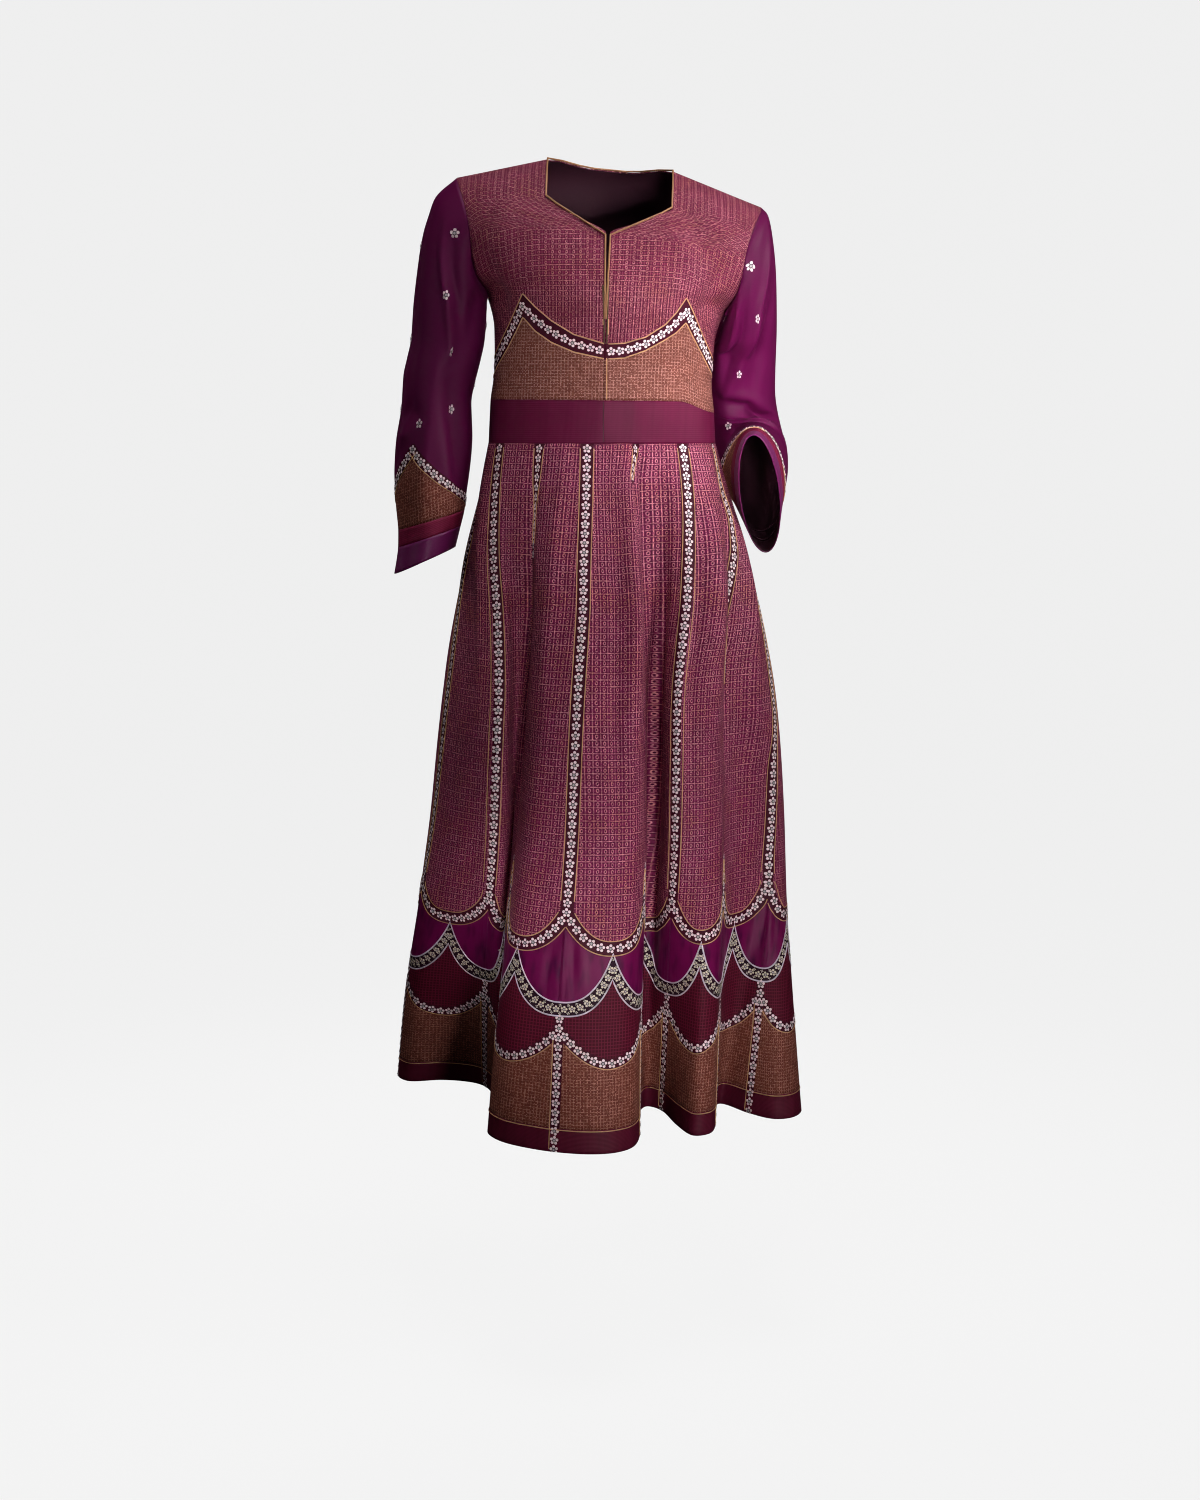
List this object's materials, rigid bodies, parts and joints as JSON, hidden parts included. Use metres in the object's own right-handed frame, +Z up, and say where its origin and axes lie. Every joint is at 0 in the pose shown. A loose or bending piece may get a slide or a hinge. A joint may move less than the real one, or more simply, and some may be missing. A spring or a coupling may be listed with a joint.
{
  "type": "afghan dress",
  "caption": "Long-sleeved, full-length flared Afghan dress as worn, hollow, with fitted bodice, waistband, folded panelled skirt and open neck, cuffs and hem.",
  "frame": {"origin": "middle of the neck opening at shoulder height, where the wearer's shoulders hold the dress up", "axes": "+Z up along the body, +X towards the wearer's left sleeve, the dress's front faces -Y"},
  "size_m": [0.5413, 0.4222, 1.215],
  "materials": {
    "lurex": "plum cloth woven with a grid of dull gold thread",
    "plain_plum": "matt ribbed waistband cloth",
    "hem": "dark plum band cloth",
    "satin": "smooth magenta satin",
    "gold_cord": "twisted gold piping"
  },
  "bodies": {
    "root": {"bodice_front_right": "lurex", "bodice_front_left": "lurex", "bodice_back": "lurex", "waistband_front": "plain_plum", "waistband_back": "plain_plum", "skirt_front": "lurex", "skirt_front_left": "lurex", "skirt_side_left": "lurex", "skirt_back_left": "lurex", "skirt_back_right": "lurex", "skirt_side_right": "lurex", "hem_band_front": "hem", "hem_band_front_left": "hem", "hem_band_side_left": "hem", "hem_band_back_left": "hem", "hem_band_back_right": "hem", "hem_band_side_right": "hem", "sleeve_right": "satin", "sleeve_left": "satin", "cuff_band_right": "hem", "cuff_band_left": "hem", "cuff_edge_right": "satin", "cuff_edge_left": "satin", "piping_neck": "gold_cord"}
  },
  "joints": []
}
